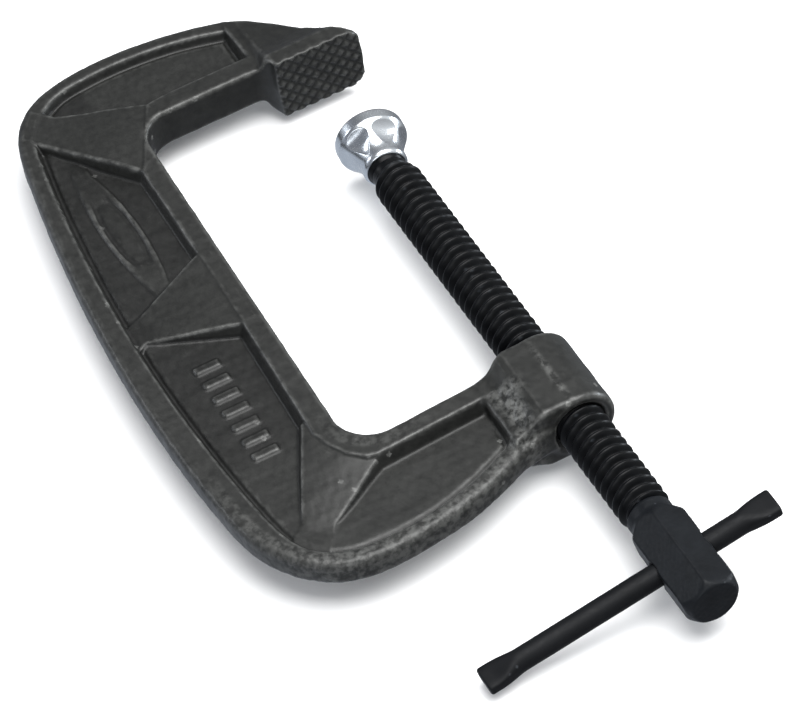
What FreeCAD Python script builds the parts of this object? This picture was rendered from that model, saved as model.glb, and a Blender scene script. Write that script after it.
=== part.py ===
import FreeCAD, Part
import math
import os
from FreeCAD import Vector, Placement, Rotation

# A cast C-clamp in five pieces: frame, screw, ball stud, swivel pad and tommy bar.
# X runs along the screw from the anvil towards the handle, with the anvil face at x = 0.
# Y runs from the spine of the frame to the open side, with the screw axis at y = 0.
# Z runs across the thickness, with the middle plane of the frame at z = 0.

os.makedirs("parts", exist_ok=True)
doc = FreeCAD.newDocument("c_clamp")

# ---------------------------------------------------------------- dimensions
# alias, value in mm or degrees, note
DIMENSIONS = [
    ("flange_half", 5.5, "half thickness of the inner flange"),
    ("rim_half", 3.6, "half thickness of the outer rim"),
    ("web_half", 1.7, "half thickness of the web"),
    ("edge_round", 1.1, "casting edge radius"),
    ("anvil_half", 9.2, "half width of the anvil across the thickness"),
    ("groove_step", 2.6, "spacing of the crosshatch grooves"),
    ("groove_deep", 0.65, "depth of the crosshatch grooves"),
    ("boss_rad", 9.25, "boss radius"),
    ("boss_start", 114.9, "inner end of the boss"),
    ("boss_end", 139.1, "outer end of the boss"),
    ("sleeve_rad", 8.0, "outer radius of the threaded sleeve in the boss"),
    ("pitch", 2.822, "screw pitch, nine threads to the inch"),
    ("thread_rad", 6.25, "screw crest radius"),
    ("thread_deep", 1.45, "thread depth"),
    ("thread_gap", 0.12, "clearance of the nut thread"),
    ("thread_base", 40.5, "x from which the turns are counted"),
    ("thread_start", 41.8, "front end of the thread cone"),
    ("thread_full", 44.9, "where the thread reaches full diameter"),
    ("thread_end", 169.9, "last full thread"),
    ("relief_end", 171.2, "end of the run-out relief"),
    ("neck_rad", 5.75, "collar behind the thread"),
    ("neck_end", 174.2, "start of the head shoulder"),
    ("head_end", 202.4, "free end of the head"),
    ("head_half_bar", 6.9, "head half width along the handle"),
    ("head_half_flat", 6.15, "distance of the four other flats"),
    ("handle_x", 187.0, "handle hole position"),
    ("handle_turn", 9.5, "handle angle above the frame plane"),
    ("handle_rad", 2.85, "handle radius"),
    ("handle_gap", 0.06, "clearance of the handle in its hole"),
    ("handle_near", 25.0, "handle reach on the open side"),
    ("handle_far", 53.1, "handle reach on the spine side"),
    ("ball_x", 37.5, "ball centre"),
    ("ball_rad", 5.15, "ball radius"),
    ("stud_seat", 2.6, "ball centre to the front end of the screw"),
    ("stud_neck_rad", 4.5, "neck behind the ball"),
    ("nose_rad", 4.75, "plain nose of the screw"),
    ("stud_shank_rad", 2.5, "shank of the ball stud"),
    ("stud_shank_len", 7.0, "shank length inside the screw"),
    ("stud_gap", 0.05, "running clearance of the shank and the ball"),
    ("pad_rad", 9.05, "pad rim radius"),
    ("pad_front", 11.45, "ball centre to pad face"),
    ("pad_band", 3.4, "height of the pad rim band"),
    ("pad_lip_rad", 5.85, "outer radius of the pad lip"),
    ("pad_lip_x", 1.55, "lip end behind the ball centre"),
    ("pad_tilt", 6.0, "pad tilt at rest"),
]
sheet = doc.addObject("Spreadsheet::Sheet", "dims")
sheet.set("A1", "name")
sheet.set("B1", "value")
for row, (alias, value, note) in enumerate(DIMENSIONS, start=2):
    sheet.set(f"A{row}", alias)
    sheet.set(f"B{row}", str(value))
    sheet.set(f"C{row}", note)
    sheet.setAlias(f"B{row}", alias)
doc.recompute()


def dim(name):
    return float(sheet.get(name))


# values that several sections share
FLANGE = dim("flange_half")
RIM = dim("rim_half")
WEB = dim("web_half")
ANVIL_HALF = dim("anvil_half")
BOSS_START = dim("boss_start")
BOSS_END = dim("boss_end")
PITCH = dim("pitch")
CREST_RAD = dim("thread_rad")
THREAD_DEEP = dim("thread_deep")
ROOT_RAD = CREST_RAD - THREAD_DEEP
THREAD_BASE = dim("thread_base")
BALL_X = dim("ball_x")
BALL_RAD = dim("ball_rad")
STUD_NECK = dim("stud_neck_rad")
SCREW_FRONT = BALL_X + dim("stud_seat")
HANDLE_TURN = math.radians(dim("handle_turn"))
HANDLE_AXIS = Vector(0, math.cos(HANDLE_TURN), math.sin(HANDLE_TURN))

ORIGIN = Vector(0, 0, 0)
X_AXIS = Vector(1, 0, 0)
Z_TO_X = Rotation(Vector(0, 1, 0), 90)


# ------------------------------------------------------------ document objects
def feature(name, shape):
    obj = doc.addObject("Part::Feature", name)
    obj.Shape = shape
    return obj


def extrude(name, base, low, high, direction=(0, 0, 1)):
    """Extrusion by the expressions low, against the direction, and high, along it."""
    obj = doc.addObject("Part::Extrusion", name)
    obj.Base = base
    obj.DirMode = "Custom"
    obj.Dir = Vector(*direction)
    obj.setExpression("LengthFwd", high)
    obj.setExpression("LengthRev", low)
    obj.Solid = True
    return obj


def revolve(name, face):
    """Solid of revolution of a face about the X axis."""
    obj = doc.addObject("Part::Revolution", name)
    obj.Source = feature(name + "_profile", face)
    obj.Axis = X_AXIS
    obj.Angle = 360
    obj.Solid = True
    return obj


def x_cylinder(name, radius, height, start):
    """Cylinder on the X axis; radius, height and starting x are expressions."""
    obj = doc.addObject("Part::Cylinder", name)
    obj.setExpression("Radius", radius)
    obj.setExpression("Height", height)
    obj.Placement = Placement(ORIGIN, Z_TO_X)
    obj.setExpression("Placement.Base.x", start)
    return obj


def fuse(name, items, refine=True):
    obj = doc.addObject("Part::MultiFuse", name)
    obj.Shapes = items
    obj.Refine = refine
    return obj


def cut(name, base, tool, refine=True):
    obj = doc.addObject("Part::Cut", name)
    obj.Base = base
    obj.Tool = tool
    obj.Refine = refine
    return obj


def common(name, items):
    obj = doc.addObject("Part::MultiCommon", name)
    obj.Shapes = items
    return obj


# -------------------------------------------------------------- curves, faces
def flat_points(pairs):
    return [Vector(x, y, 0) for x, y in pairs]


def polygon_face(points):
    return Part.Face(Part.makePolygon(points + [points[0]]))


def flat_face(pairs):
    return polygon_face(flat_points(pairs))


def spline(points):
    curve = Part.BSplineCurve()
    curve.interpolate(points)
    return curve.toShape()


def arc(start, middle, end):
    return Part.Arc(start, middle, end).toShape()


def chain(points):
    """Straight edges from each point to the next."""
    return [Part.LineSegment(a, b).toShape() for a, b in zip(points, points[1:])]


def rounded_path(start, corners, end):
    """Straight runs joined by tangent arcs; each corner is x, y, radius."""
    points = [start] + [Vector(x, y, 0) for x, y, radius in corners] + [end]
    edges = []
    reached = start
    for k, (x, y, radius) in enumerate(corners, start=1):
        corner = points[k]
        backward = (points[k - 1] - corner).normalize()
        forward = (points[k + 1] - corner).normalize()
        half_angle = math.acos(backward.dot(forward)) / 2
        setback = radius / math.tan(half_angle)
        arc_start = corner + backward * setback
        arc_end = corner + forward * setback
        bisector = (backward + forward).normalize()
        arc_middle = corner + bisector * (radius / math.sin(half_angle) - radius)
        edges += chain([reached, arc_start])
        edges.append(arc(arc_start, arc_middle, arc_end))
        reached = arc_end
    return edges + chain([reached, end])


# ------------------------------------------------------------ frame: outlines
ANVIL_FACE_LOW = (0, -10.104)
ANVIL_FACE_HIGH = (0, 12.813)

# x, y of the outer edge, from the anvil nose round the spine to the boss
OUTER = [
    (-1.354, 13.438), (-3.750, 9.792), (-7.709, 5.834), (-13.959, 1.458),
    (-20.001, -2.917), (-24.792, -7.292), (-28.543, -12.709), (-30.834, -18.751),
    (-32.501, -25.417), (-33.751, -33.439), (-34.376, -41.668), (-34.272, -48.960),
    (-33.334, -56.252), (-31.251, -63.127), (-27.501, -68.961), (-21.251, -73.544),
    (-12.500, -76.252), (-5.209, -77.502), (6.250, -79.378), (19.792, -81.253),
    (35.418, -83.023), (52.085, -84.378), (68.752, -85.211), (85.419, -85.419),
    (100.003, -85.107), (113.545, -84.274), (125.004, -83.023), (132.296, -81.148),
    (137.817, -78.440), (142.609, -75.002), (146.463, -70.836), (149.067, -66.252),
    (150.526, -60.419), (150.838, -53.439), (150.005, -43.751), (148.130, -33.334),
    (145.421, -25.001), (142.088, -17.188),
]

# x, y, radius at the corners of the edge facing the opening, from anvil to boss
WINDOW = [
    (-5.000, -11.875, 4.688), (-5.000, -46.929, 7.917),
    (119.275, -49.481, 9.584), (117.400, -11.355, 5.2085),
]

# x, y of the flange edge away from the opening, closed well clear of the frame at +Y
FLANGE_EDGE = [
    (-11.250, 31.251), (-11.250, -36.460), (-10.625, -42.293), (10.417, -52.918),
    (42.710, -53.439), (69.794, -54.064), (105.733, -55.418), (110.733, -55.627),
    (115.941, -54.168), (120.629, -51.668), (124.171, -47.918), (124.691, -45.314),
    (123.129, -16.667), (123.129, 31.251),
]

# x, y of the channel between flange and rim: the smooth rim side from anvil to boss
CHANNEL_RIM = [
    (-24.376, -13.438), (-26.668, -20.313), (-28.230, -26.563), (-29.376, -34.376),
    (-29.897, -42.710), (-29.480, -51.564), (-28.334, -58.544), (-25.522, -63.752),
    (-21.251, -67.919), (-14.896, -71.044), (-5.209, -72.919), (6.250, -74.586),
    (16.146, -75.732), (26.563, -76.773), (37.501, -77.711), (50.002, -78.440),
    (62.502, -78.857), (75.002, -78.961), (89.065, -78.648), (103.649, -77.919),
    (115.629, -76.982), (126.046, -75.836), (133.338, -74.482), (138.963, -72.086),
    (143.130, -68.023), (145.630, -61.981), (146.359, -53.648), (145.942, -45.314),
    (144.692, -37.501), (142.400, -29.376), (139.171, -21.667), (136.879, -16.771),
]
# and the straight-sided flange side back from boss to anvil
CHANNEL_FLANGE = [
    (124.275, -15.417), (122.921, -17.084), (124.483, -45.314), (123.962, -48.127),
    (120.421, -51.877), (115.733, -54.377), (110.629, -55.835), (105.524, -55.627),
    (69.794, -54.273), (42.710, -53.648), (10.521, -53.127), (-10.834, -42.501),
    (-11.459, -36.460), (-11.459, -13.125),
]


def outline_wire():
    face_low = Vector(*ANVIL_FACE_LOW, 0)
    face_high = Vector(*ANVIL_FACE_HIGH, 0)
    boss_inner = Vector(BOSS_START, -8.646, 0)
    boss_outer = Vector(BOSS_END, -6.250, 0)
    outer = flat_points(OUTER)
    edges = chain([face_low, face_high, outer[0]])
    edges.append(spline(outer))
    edges += chain([outer[-1], boss_outer, boss_inner])
    edges += rounded_path(face_low, WINDOW, boss_inner)
    return Part.Wire(Part.__sortEdges__(edges))


# --------------------------------------------------------- frame: bow and ribs
# the rounded flange edges have their middles inside these limits
ROUND_X_MIN, ROUND_X_MAX = -6.250, 119.587
ROUND_Y_MAX = -13.542


def rounded_edges(shape, wire):
    """Numbers of the flange face edges that follow the opening."""
    found = []
    for number, edge in enumerate(shape.Edges, start=1):
        box = edge.BoundBox
        level = abs(box.ZMin - box.ZMax) < 1e-6
        if not level or abs(abs(box.ZMin) - FLANGE) >= 1e-6:
            continue
        middle = edge.valueAt((edge.FirstParameter + edge.LastParameter) / 2)
        foot = Part.Vertex(middle.x, middle.y, 0)
        in_limits = ROUND_X_MIN < middle.x < ROUND_X_MAX and middle.y < ROUND_Y_MAX
        if wire.distToShape(foot)[0] < 0.01 and in_limits:
            found.append(number)
    return found


def build_bow():
    """Outer rim, inner flange and the web left between the two channels."""
    wire = outline_wire()
    outline_face = Part.Face(wire)
    outline = feature("frame_outline", outline_face)
    flange_plan = flat_face(FLANGE_EDGE).common(outline_face)
    flange_outline = feature("flange_outline", flange_plan.Faces[0])

    rim_plate = extrude("rim_plate", outline, "dims.rim_half", "dims.rim_half")
    flange_plate = extrude(
        "flange_plate", flange_outline, "dims.flange_half", "dims.flange_half")
    plates = fuse("plates", [rim_plate, flange_plate])
    doc.recompute()

    bow = doc.addObject("Part::Fillet", "plates_round")
    bow.Base = plates
    radius = dim("edge_round")
    bow.Edges = [(n, radius, radius) for n in rounded_edges(plates.Shape, wire)]
    doc.recompute()

    closing = [CHANNEL_RIM[-1]] + CHANNEL_FLANGE + [CHANNEL_RIM[0]]
    channel = feature("channel_outline", Part.Face(Part.Wire([
        spline(flat_points(CHANNEL_RIM)),
        Part.makePolygon(flat_points(closing)),
    ])))
    for side, way, start in (("top", 1, "dims.web_half"), ("low", -1, "-dims.web_half")):
        tool = extrude("channel_" + side, channel, "0", "20", (0, 0, way))
        tool.setExpression("Placement.Base.z", start)
        bow = cut("web_" + side, bow, tool)
    return bow


# half heights at which the ribs sink into the flange, and into the web
RIB_FLANGE = FLANGE - 0.12
RIB_FLANGE_BOSS = FLANGE - 0.35
RIB_WEB = WEB + 0.15

# x, y, half height of the rib corners
RIBS = {
    "rib_anvil_corner": [
        (-10.834, -42.085, RIB_FLANGE),
        (-21.667, -62.710, RIM + 0.25), (-25.626, -66.044, RIM - 0.05),
        (-19.271, -71.044, RIM - 0.05), (-12.709, -68.752, RIM + 0.25),
        (10.625, -52.502, RIB_FLANGE),
    ],
    "rib_middle": [
        (52.085, -52.606, RIB_FLANGE), (42.918, -53.127, RIB_FLANGE),
        (50.939, -72.711, WEB + 0.9), (53.648, -79.169, RIB_WEB),
        (60.419, -79.378, RIB_WEB), (61.981, -76.461, WEB + 0.5),
        (69.794, -53.752, RIB_FLANGE),
    ],
    "rib_boss_corner": [
        (114.587, -53.127, RIB_FLANGE_BOSS), (106.462, -54.585, RIB_FLANGE_BOSS),
        (131.150, -70.002, WEB + 0.55), (133.858, -72.190, RIB_WEB),
        (139.900, -68.023, RIB_WEB), (139.171, -63.856, WEB + 0.45),
        (123.962, -44.376, RIB_FLANGE_BOSS), (121.462, -46.460, RIB_FLANGE_BOSS),
    ],
}


def build_rib(name, corners):
    """Rib that falls from the flange to the rim, alike on both sides of z = 0."""
    top = [Vector(*corner) for corner in corners]
    low = [Vector(v.x, v.y, -v.z) for v in top]
    faces = []
    for k in range(1, len(top) - 1):
        faces.append(polygon_face([top[0], top[k], top[k + 1]]))
        faces.append(polygon_face([low[0], low[k + 1], low[k]]))
    for k in range(len(top)):
        j = (k + 1) % len(top)
        faces.append(polygon_face([top[k], low[k], low[j], top[j]]))
    solid = Part.makeSolid(Part.makeShell(faces))
    if solid.Volume < 0:
        solid.reverse()
    return feature(name, solid)


# ------------------------------------------------------------- frame: anvil
# x, y of the anvil seen along Z
ANVIL_PLAN = [
    ANVIL_FACE_LOW, ANVIL_FACE_HIGH, OUTER[0], OUTER[1],
    (-7.709, 4.792), (-13.959, 0.208), (-20.001, -4.792), (-23.542, -8.334),
    (-22.917, -12.396), (-6.771, -12.396), (-4.375, -11.667), (-1.667, -10.625),
]
# x, half width of the anvil as it narrows to the rim
ANVIL_FLARE = [
    (0.0, ANVIL_HALF), (-3.9, ANVIL_HALF), (-6.0, ANVIL_HALF - 1.5),
    (-9.5, ANVIL_HALF - 3.0), (-14.0, ANVIL_HALF - 4.2), (-23.5, RIM),
]
ANVIL_TOP = 13.334
ANVIL_TOP_ROUND = 4.0


def anvil_section():
    """Section across X with rounded corners on the open side."""
    def at(y, z):
        return Vector(-40, y, z)

    half = ANVIL_HALF
    low = -30
    flank = ANVIL_TOP - ANVIL_TOP_ROUND
    crown = half - ANVIL_TOP_ROUND
    inset = ANVIL_TOP_ROUND * (1 - math.sqrt(0.5))
    return Part.Face(Part.Wire(
        chain([at(low, -half), at(flank, -half)])
        + [arc(at(flank, -half), at(ANVIL_TOP - inset, -half + inset), at(ANVIL_TOP, -crown))]
        + chain([at(ANVIL_TOP, -crown), at(ANVIL_TOP, crown)])
        + [arc(at(ANVIL_TOP, crown), at(ANVIL_TOP - inset, half - inset), at(flank, half))]
        + chain([at(flank, half), at(low, half), at(low, -half)])
    ))


def build_anvil():
    """The anvil is what its views along Z, Y and X have in common."""
    plan = feature("anvil_plan", flat_face(ANVIL_PLAN))
    block = extrude("anvil_block", plan, "dims.anvil_half", "dims.anvil_half")

    upper = [Vector(x, 0, z) for x, z in ANVIL_FLARE]
    lower = [Vector(x, 0, -z) for x, z in reversed(ANVIL_FLARE)]
    flare_plan = feature("flare_plan", Part.Face(Part.Wire(
        chain(upper[:2]) + [spline(upper[1:])]
        + chain([upper[-1], lower[0]])
        + [spline(lower[:-1])] + chain(lower[-2:] + [upper[0]])
    )))
    flare = extrude("flare", flare_plan, "30", "30", (0, 1, 0))

    section = feature("nose_section", anvil_section())
    nose_bar = extrude("nose_bar", section, "0", "80", (1, 0, 0))
    return common("anvil", [block, flare, nose_bar])


def build_crosshatch():
    """V grooves for the anvil face, in two crossing sets."""
    step = dim("groove_step")
    deep = dim("groove_deep")
    above = 0.3
    length = 60
    grooves = []
    for slant in (45.0, -45.0):
        for n in range(-6, 6):
            offset = (n + 0.5) * step
            groove = flat_face([
                (above, offset - deep - above), (above, offset + deep + above),
                (-deep, offset),
            ]).extrude(Vector(0, 0, length))
            groove.translate(Vector(0, 0, -length / 2))
            groove.rotate(ORIGIN, X_AXIS, slant)
            grooves.append(groove)
    return feature("crosshatch", grooves[0].multiFuse(grooves[1:]))


# --------------------------------------------------------------- frame: boss
SHOULDER_LOW_Y = -16.251
SHOULDER_HALF = dim("boss_rad") - 0.12
# y, half thickness of the boss flanks where they run into the arm
SHOULDER = [
    (0.625, SHOULDER_HALF), (-8.542, SHOULDER_HALF), (SHOULDER_LOW_Y, FLANGE - 0.12),
]
# x, y of the boss root seen along Z
BOSS_ROOT = [
    (BOSS_START, 1.0), (BOSS_START, -8.854), (116.983, -12.709),
    (118.129, SHOULDER_LOW_Y), (140.213, SHOULDER_LOW_Y), (BOSS_END, -7.292),
    (BOSS_END, 1.0),
]


def build_boss():
    """Round boss, and the root with flat flanks that joins it to the arm."""
    boss_round = x_cylinder(
        "boss_round", "dims.boss_rad", "dims.boss_end - dims.boss_start", "dims.boss_start")
    upper = [Vector(0, y, z) for y, z in SHOULDER]
    lower = [Vector(0, y, -z) for y, z in reversed(SHOULDER)]
    shoulder_plan = feature("shoulder_plan", polygon_face(upper + lower))
    shoulder_bar = extrude("shoulder_bar", shoulder_plan, "0", "200", (1, 0, 0))
    root_plan = feature("root_plan", flat_face(BOSS_ROOT))
    root_block = extrude("root_block", root_plan, "20", "20")
    return [boss_round, common("boss_root", [root_block, shoulder_bar])]


# -------------------------------------------------------------------- threads
# half widths of the screw groove: wide at the crest, narrow at the root
CREST_GROOVE = 0.36 * PITCH
ROOT_GROOVE = 0.17 * PITCH
FLANK_SLOPE = (CREST_GROOVE - ROOT_GROOVE) / THREAD_DEEP


def helix_band(turns, low, high, low_half, high_half, helix_rad):
    """Right-hand helical band about Z with straight flanks between two radii."""
    helix = Part.makeHelix(PITCH, PITCH * turns, helix_rad)
    corners = [
        Vector(low, 0, -low_half), Vector(high, 0, -high_half),
        Vector(high, 0, high_half), Vector(low, 0, low_half),
    ]
    profile = Part.Wire(chain(corners + [corners[0]]))
    band = Part.Wire(helix).makePipeShell([profile], True, True)
    if band.Volume < 0:
        band.reverse()
    return band


def lay_along_x(shape, start):
    """Turn local Z to X and move the origin to x = start."""
    shape.Placement = Placement(Vector(start, 0, 0), Z_TO_X)
    return shape


def build_sleeve():
    """Threaded lining of the boss, countersunk at both ends."""
    gap = dim("thread_gap")
    flank_gap = gap * 0.9
    turns = 14
    spare_turns = 2
    bore = ROOT_RAD + gap
    inward = 0.5  # the band starts this far inside the bore
    # the nut groove clears the ridge of the screw on each flank
    bore_half = PITCH / 2 - ROOT_GROOVE + flank_gap
    outer_half = PITCH / 2 - CREST_GROOVE + flank_gap
    # half a pitch off the screw groove puts the nut groove on the ridge
    whole_turns = math.floor((BOSS_START - 8.0 - THREAD_BASE) / PITCH)
    start = THREAD_BASE + PITCH * (whole_turns + 0.5)

    length = PITCH * (turns + 2 * spare_turns)
    base = Vector(0, 0, -spare_turns * PITCH)
    tube = Part.makeCylinder(dim("sleeve_rad"), length, base)
    tube = tube.cut(Part.makeCylinder(bore, length, base))
    tube = tube.cut(helix_band(
        turns, bore - inward, CREST_RAD + gap,
        bore_half + inward * FLANK_SLOPE, outer_half, bore))
    lay_along_x(tube, start)
    nut = tube.common(Part.makeCylinder(
        12, BOSS_END - BOSS_START, Vector(BOSS_START, 0, 0), X_AXIS))
    for x, way in ((BOSS_START, 1), (BOSS_END, -1)):
        nut = nut.cut(Part.makeCone(
            CREST_RAD + 0.75, CREST_RAD - 0.45, 1.2, Vector(x, 0, 0), Vector(way, 0, 0)))
    return feature("sleeve", nut)


def build_frame():
    ribs = [build_rib(name, corners) for name, corners in RIBS.items()]
    casting = fuse(
        "casting", [build_bow()] + ribs + [build_anvil()] + build_boss(), refine=False)
    hatched = cut("hatched", casting, build_crosshatch(), refine=False)
    sleeve_room = x_cylinder("sleeve_room", "dims.sleeve_rad", "60", "dims.boss_start - 15")
    roomed = cut("roomed", hatched, sleeve_room, refine=False)
    return fuse("frame", [roomed, build_sleeve()], refine=False)


# ---------------------------------------------------------------------- screw
PIECE_TURNS = 12


def threaded_piece(name, turns_before, turns):
    """Threaded cylinder of whole turns, flat at both ends, on the X axis."""
    outward = 0.5  # the band ends this far outside the crest
    blank = Part.makeCylinder(CREST_RAD, PITCH * (turns + 8), Vector(0, 0, -4 * PITCH))
    band = helix_band(
        turns + 4, ROOT_RAD, CREST_RAD + outward,
        ROOT_GROOVE, CREST_GROOVE + outward * FLANK_SLOPE, ROOT_RAD)
    band.translate(Vector(0, 0, -2 * PITCH))
    piece = blank.cut(band).common(Part.makeCylinder(9.0, PITCH * turns))
    return feature(name, lay_along_x(piece, THREAD_BASE + PITCH * turns_before))


def build_threaded_shaft():
    """Nose, four runs of thread joined end to end, and the collar behind them."""
    nose_rad = dim("nose_rad")
    neck_rad = dim("neck_rad")
    collar_end = dim("neck_end") + 0.4
    relief_end = dim("relief_end")
    cone_rad = CREST_RAD + 0.1
    spigot_rad = STUD_NECK - 0.2
    spigot_end = THREAD_BASE + 1.8
    end_turns = (
        math.floor((dim("thread_end") + 0.6 - THREAD_BASE) / PITCH) - 3 * PIECE_TURNS)
    thread_stop = THREAD_BASE + PITCH * (3 * PIECE_TURNS + end_turns)

    front_long = threaded_piece("front_long", 0, PIECE_TURNS)
    front_cone = revolve("front_cone", flat_face([
        (30, 0), (30, nose_rad), (dim("thread_start"), nose_rad),
        (dim("thread_full"), cone_rad), (90, cone_rad), (90, 0),
    ]))
    front = common("front", [front_long, front_cone])
    middle_one = threaded_piece("middle_one", PIECE_TURNS, PIECE_TURNS)
    middle_two = threaded_piece("middle_two", 2 * PIECE_TURNS, PIECE_TURNS)
    rear = threaded_piece("rear", 3 * PIECE_TURNS, end_turns)
    nose = revolve("nose", flat_face([
        (SCREW_FRONT, 0), (SCREW_FRONT, STUD_NECK), (THREAD_BASE, nose_rad),
        (THREAD_BASE, spigot_rad), (spigot_end, spigot_rad), (spigot_end, 0),
    ]))
    collar = revolve("collar", flat_face([
        (thread_stop - 2.0, 0), (thread_stop - 2.0, ROOT_RAD - 0.2),
        (thread_stop, ROOT_RAD - 0.2), (thread_stop, ROOT_RAD + 0.15),
        (relief_end - 0.7, ROOT_RAD + 0.15), (relief_end, neck_rad),
        (collar_end, neck_rad), (collar_end, 0),
    ]))
    return fuse(
        "threaded", [front, middle_one, middle_two, rear, nose, collar], refine=False)


def build_head():
    """Flattened hexagonal block with turned ends, square to the handle."""
    half_bar = dim("head_half_bar")
    half_flat = dim("head_half_flat")
    start, end = dim("neck_end"), dim("head_end")
    side = (half_flat - half_bar * 0.5) / math.sin(math.radians(60))
    peak = half_flat / math.cos(math.radians(30))
    # along the handle, across the handle
    hexagon = [
        (half_bar, side), (0, peak), (-half_bar, side),
        (-half_bar, -side), (0, -peak), (half_bar, -side),
    ]
    across = Vector(0, -math.sin(HANDLE_TURN), math.cos(HANDLE_TURN))
    plan = feature("head_plan", polygon_face(
        [HANDLE_AXIS * a + across * b for a, b in hexagon]))
    bar = extrude("head_bar", plan, "0", "dims.head_end - dims.neck_end", (1, 0, 0))
    bar.setExpression("Placement.Base.x", "dims.neck_end")

    round_rad = math.hypot(half_bar, side) + 0.05
    head_round = revolve("head_round", flat_face([
        (start - 0.1, 0), (start - 0.1, dim("neck_rad") - 0.05), (start + 3.6, round_rad),
        (end - 2.2, round_rad), (end - 0.5, round_rad - 1.9), (end, round_rad - 3.1),
        (end, 0),
    ]))
    return common("head", [bar, head_round])


def build_screw():
    body = fuse("screw_body", [build_threaded_shaft(), build_head()])

    handle_hole = doc.addObject("Part::Cylinder", "handle_hole")
    handle_hole.setExpression("Radius", "dims.handle_rad + dims.handle_gap")
    handle_hole.Height = 40
    hole_base = Vector(dim("handle_x"), 0, 0) - HANDLE_AXIS * 20
    handle_hole.Placement = Placement(hole_base, Rotation(Vector(0, 0, 1), HANDLE_AXIS))

    shank_hole = x_cylinder(
        "shank_hole", "dims.stud_shank_rad + dims.stud_gap", "dims.stud_shank_len + 1.5",
        "dims.ball_x + dims.stud_seat - 1.0")
    return cut("screw", cut("screw_hole", body, handle_hole), shank_hole)


# ------------------------------------------------------------------- ball stud
def build_ball_stud():
    """Ball, neck and chamfered shank, turned about the X axis."""
    shank_rad = dim("stud_shank_rad")
    chamfer = 0.4
    face_x = SCREW_FRONT - 0.03
    shank_end = face_x + dim("stud_shank_len")
    neck_x = BALL_X + math.sqrt(BALL_RAD ** 2 - STUD_NECK ** 2)
    ball_front = Vector(BALL_X - BALL_RAD, 0, 0)
    ball_back = Vector(neck_x, STUD_NECK, 0)
    shank = flat_points([
        (face_x, STUD_NECK), (face_x, shank_rad), (shank_end - chamfer, shank_rad),
        (shank_end, shank_rad - chamfer), (shank_end, 0),
    ])
    return revolve("ball_stud", Part.Face(Part.Wire(
        [arc(ball_front, Vector(BALL_X, BALL_RAD, 0), ball_back)]
        + chain([ball_back] + shank + [ball_front])
    )))


# ------------------------------------------------------------------ swivel pad
def build_swivel_pad():
    """Drawn about the ball centre at the origin, face towards -X, then tilted."""
    rim = dim("pad_rad")
    face_x = -dim("pad_front")
    band_x = face_x + dim("pad_band")
    lip_rad = dim("pad_lip_rad")
    lip_x = dim("pad_lip_x")
    socket = BALL_RAD + dim("stud_gap")
    lip_inner = math.sqrt(socket ** 2 - lip_x ** 2)

    def on_socket(degrees):
        angle = math.radians(degrees)
        return Vector(-socket * math.cos(angle), socket * math.sin(angle), 0)

    outside = flat_points([
        (face_x, 0), (face_x, rim - 0.6), (face_x + 0.6, rim), (band_x, rim),
        (band_x + 0.5, rim - 0.45), (-0.9, lip_rad - 0.3),
    ])
    lip_outer_end = Vector(lip_x, (lip_rad + lip_inner) / 2 + 0.1, 0)
    lip_inner_end = Vector(lip_x, lip_inner, 0)
    socket_bottom = Vector(-socket, 0, 0)
    turned = revolve("pad_turned", Part.Face(Part.Wire(
        chain(outside)
        + [arc(outside[-1], Vector(0.5, lip_rad, 0), lip_outer_end)]
        + chain([lip_outer_end, lip_inner_end])
        + [arc(lip_inner_end, Vector(0, socket, 0), on_socket(60)),
           arc(on_socket(60), on_socket(25), socket_bottom)]
        + chain([socket_bottom, outside[0]])
    )))

    # six hollows pressed into the cone to close the lip on the ball
    presses = []
    for n in range(6):
        press = Part.makeCylinder(5.2, 7.8, Vector(-3.6, 11.75, -3.9), Vector(0, 0, 1))
        press.rotate(ORIGIN, X_AXIS, 60.0 * n + 66.0)
        presses.append(press)
    press_tools = feature("press_tools", presses[0].multiFuse(presses[1:]))
    pad = cut("swivel_pad", turned, press_tools)
    pad.Placement = Placement(
        Vector(BALL_X, 0, 0), Rotation(Vector(0, 0, 1), -dim("pad_tilt")))
    return pad


# ------------------------------------------------------------------- tommy bar
BAR_RAD = dim("handle_rad")
# half width as a share of the bar radius, distance back from the end
FAN = [(0.92, 8.2), (1.2, 3.4), (1.3, 1.3), (1.12, 0.0)]


def end_flats(name, end, way):
    """Two sloping cuts that flatten one end of the bar across local Y."""
    wedges = []
    for side in (1, -1):
        # local y, local z
        corners = [
            (side * BAR_RAD * 0.52, end + way * 1.0),
            (side * BAR_RAD * 0.62, end - way * 2.6),
            (side * (BAR_RAD + 0.25), end - way * 9.5),
            (side * (BAR_RAD + 3.0), end - way * 9.5),
            (side * (BAR_RAD + 3.0), end + way * 1.0),
        ]
        wedge = polygon_face([Vector(-9, y, z) for y, z in corners])
        wedges.append(wedge.extrude(Vector(18, 0, 0)))
    return feature(name, Part.makeCompound(wedges))


def end_fan(name, end, way):
    """Metal spread sideways by the flattening, along local X."""
    half_thick = BAR_RAD * 0.46
    right = [Vector(BAR_RAD * w, -half_thick, end - way * back) for w, back in FAN]
    left = [Vector(-v.x, v.y, v.z) for v in reversed(right)]
    return feature(name, polygon_face(right + left).extrude(Vector(0, 2 * half_thick, 0)))


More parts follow.
